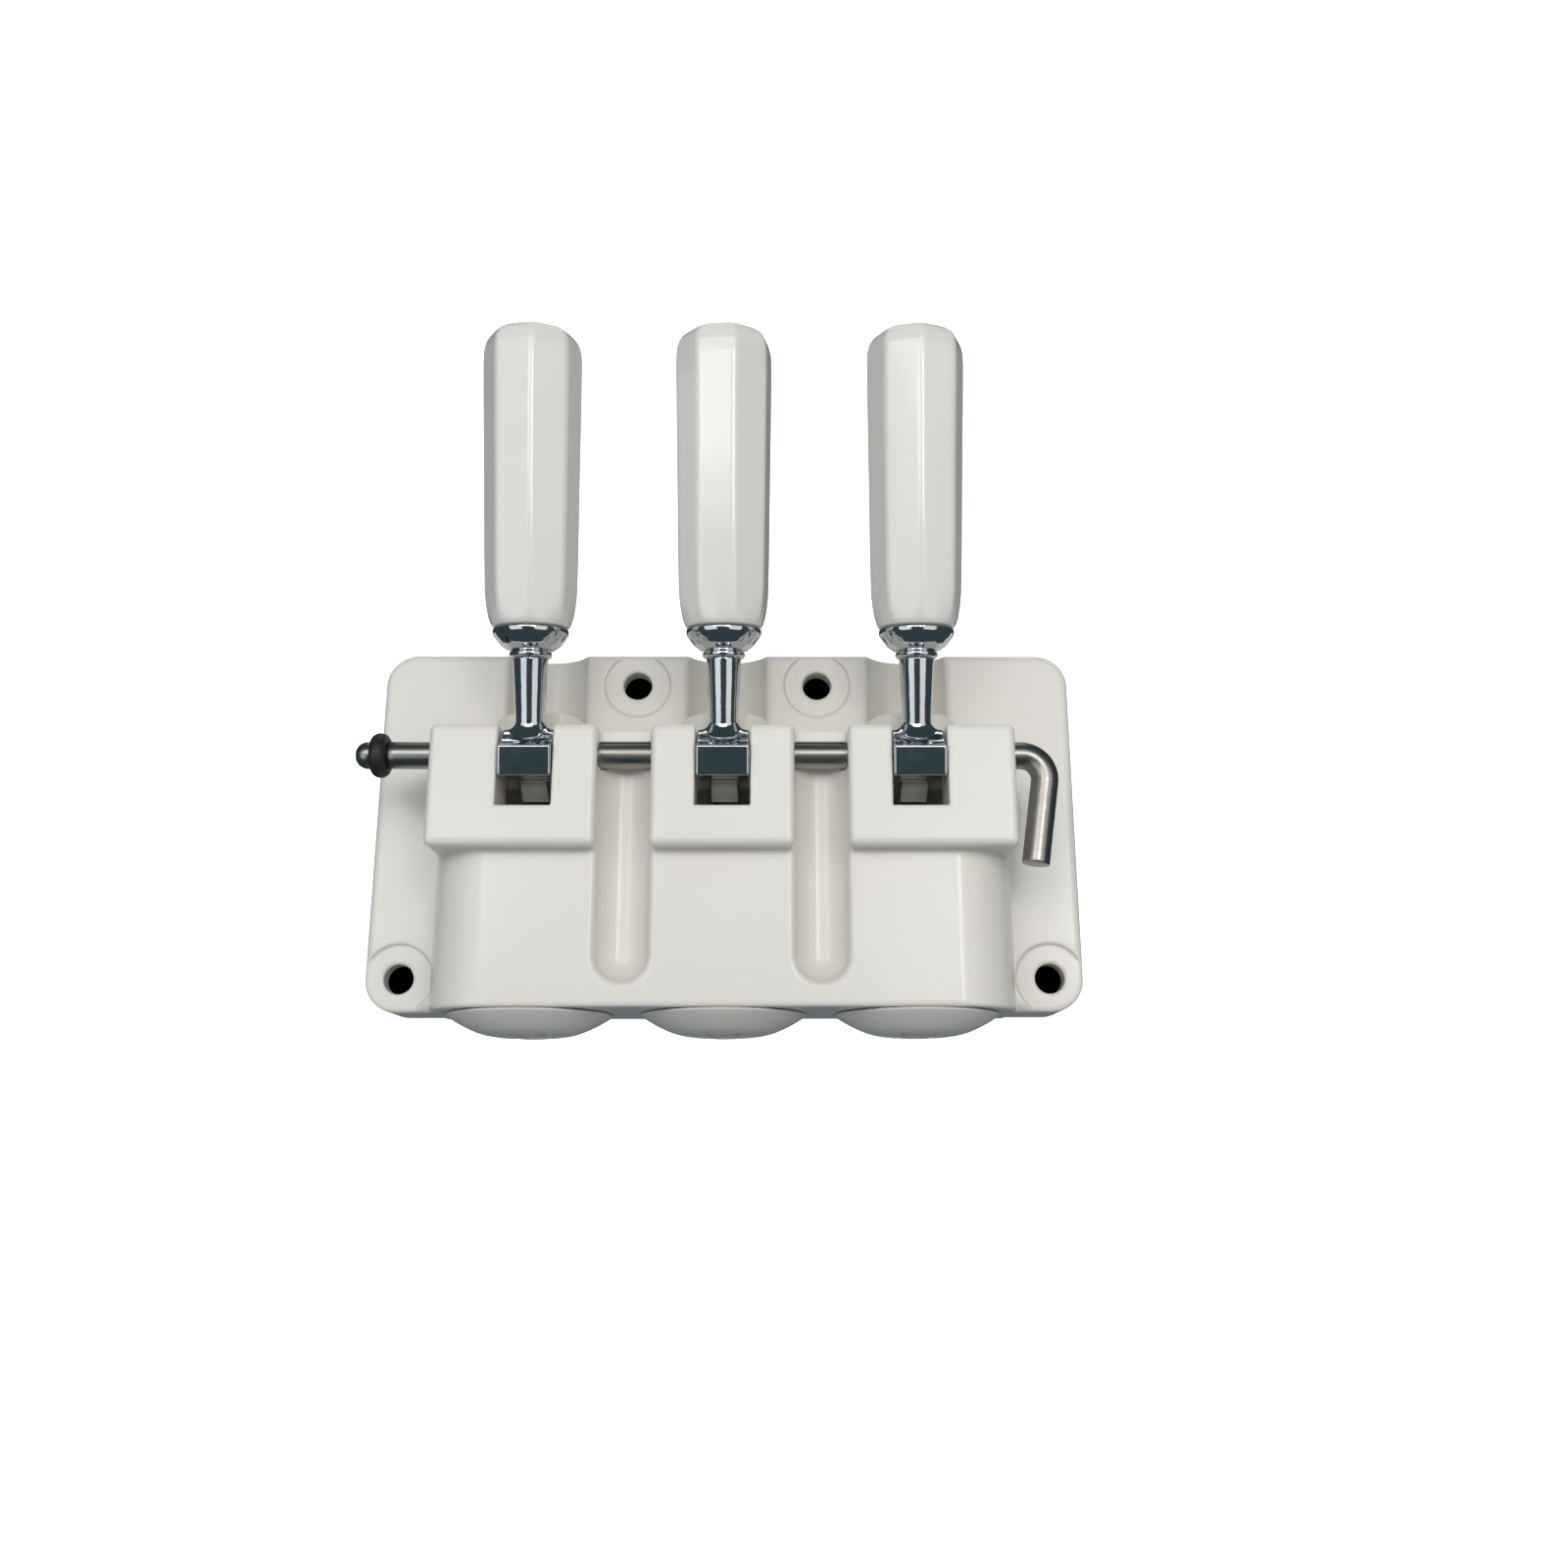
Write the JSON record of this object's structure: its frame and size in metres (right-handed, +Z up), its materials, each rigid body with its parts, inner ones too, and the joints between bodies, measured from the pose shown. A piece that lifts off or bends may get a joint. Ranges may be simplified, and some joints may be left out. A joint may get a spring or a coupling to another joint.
{
  "type": "three-lever dispensing head",
  "caption": "Moulded front plate with vertical plunger valves, hand levers on a common cross pin and star nozzles underneath.",
  "frame": {"origin": "centre of the flat back face of the valve body", "axes": "+Z up, +Y out of the back face into the machine, +X to the right as the front is faced"},
  "size_m": [0.217, 0.0849, 0.2064],
  "materials": {
    "moulding": "cream moulded plastic, satin gloss",
    "plunger": "cream turned plastic, satin",
    "nozzle": "cream moulded plastic, satin gloss",
    "grip": "off-white polished plastic",
    "chrome": "bright chrome plate on a die casting",
    "stainless": "drawn stainless bar",
    "rubber": "black nitrile rubber"
  },
  "bodies": {
    "base": {"valve_body": "moulding", "cylinder_seal_left": "rubber", "cylinder_seal_right": "rubber", "nozzle_cap_left": "nozzle", "nozzle_ring_left": "rubber", "nozzle_cap_center": "nozzle", "nozzle_ring_center": "rubber", "nozzle_cap_right": "nozzle", "nozzle_ring_right": "rubber"},
    "valve_left": {"plunger_left": "plunger", "plunger_lower_ring_left": "rubber", "plunger_upper_ring_left": "rubber"},
    "lever_left": {"lever_casting_left": "chrome", "ferrule_left": "chrome", "grip_left": "grip"},
    "valve_center": {"plunger_center": "plunger", "plunger_lower_ring_center": "rubber", "plunger_upper_ring_center": "rubber"},
    "lever_center": {"lever_casting_center": "chrome", "ferrule_center": "chrome", "grip_center": "grip"},
    "valve_right": {"plunger_right": "plunger", "plunger_lower_ring_right": "rubber", "plunger_upper_ring_right": "rubber"},
    "lever_right": {"lever_casting_right": "chrome", "ferrule_right": "chrome", "grip_right": "grip"},
    "pin_carrier": {"pin_retaining_ring": "rubber"},
    "pin": {"pivot_pin": "stainless"}
  },
  "joints": [
    {"name": "lever_left_pull", "type": "hinge", "parent": "base", "child": "lever_left", "pos_m": [-0.057, -0.0459, 0.0157], "axis": [1, 0, 0], "range_deg": [0, 60]},
    {"name": "plunger_left_lift", "type": "slide", "parent": "base", "child": "valve_left", "axis": [0, 0, 1], "range_m": [0, 0.0211]},
    {"name": "lever_center_pull", "type": "hinge", "parent": "base", "child": "lever_center", "pos_m": [0, -0.0459, 0.0157], "axis": [1, 0, 0], "range_deg": [0, 60]},
    {"name": "plunger_center_lift", "type": "slide", "parent": "base", "child": "valve_center", "axis": [0, 0, 1], "range_m": [0, 0.0211]},
    {"name": "lever_right_pull", "type": "hinge", "parent": "base", "child": "lever_right", "pos_m": [0.057, -0.0459, 0.0157], "axis": [1, 0, 0], "range_deg": [0, 60]},
    {"name": "plunger_right_lift", "type": "slide", "parent": "base", "child": "valve_right", "axis": [0, 0, 1], "range_m": [0, 0.0211]},
    {"name": "pin_draw", "type": "slide", "parent": "base", "child": "pin_carrier", "axis": [1, 0, 0], "range_m": [0, 0.012]},
    {"name": "pin_turn", "type": "hinge", "parent": "pin_carrier", "child": "pin", "pos_m": [0, -0.0459, 0.0157], "axis": [1, 0, 0], "range_deg": [-180, 38]}
  ],
  "couplings": [
    {"joint": "plunger_left_lift", "follows": "lever_left_pull", "m_per_rad": 0.020054},
    {"joint": "plunger_center_lift", "follows": "lever_center_pull", "m_per_rad": 0.020054},
    {"joint": "plunger_right_lift", "follows": "lever_right_pull", "m_per_rad": 0.020054}
  ]
}
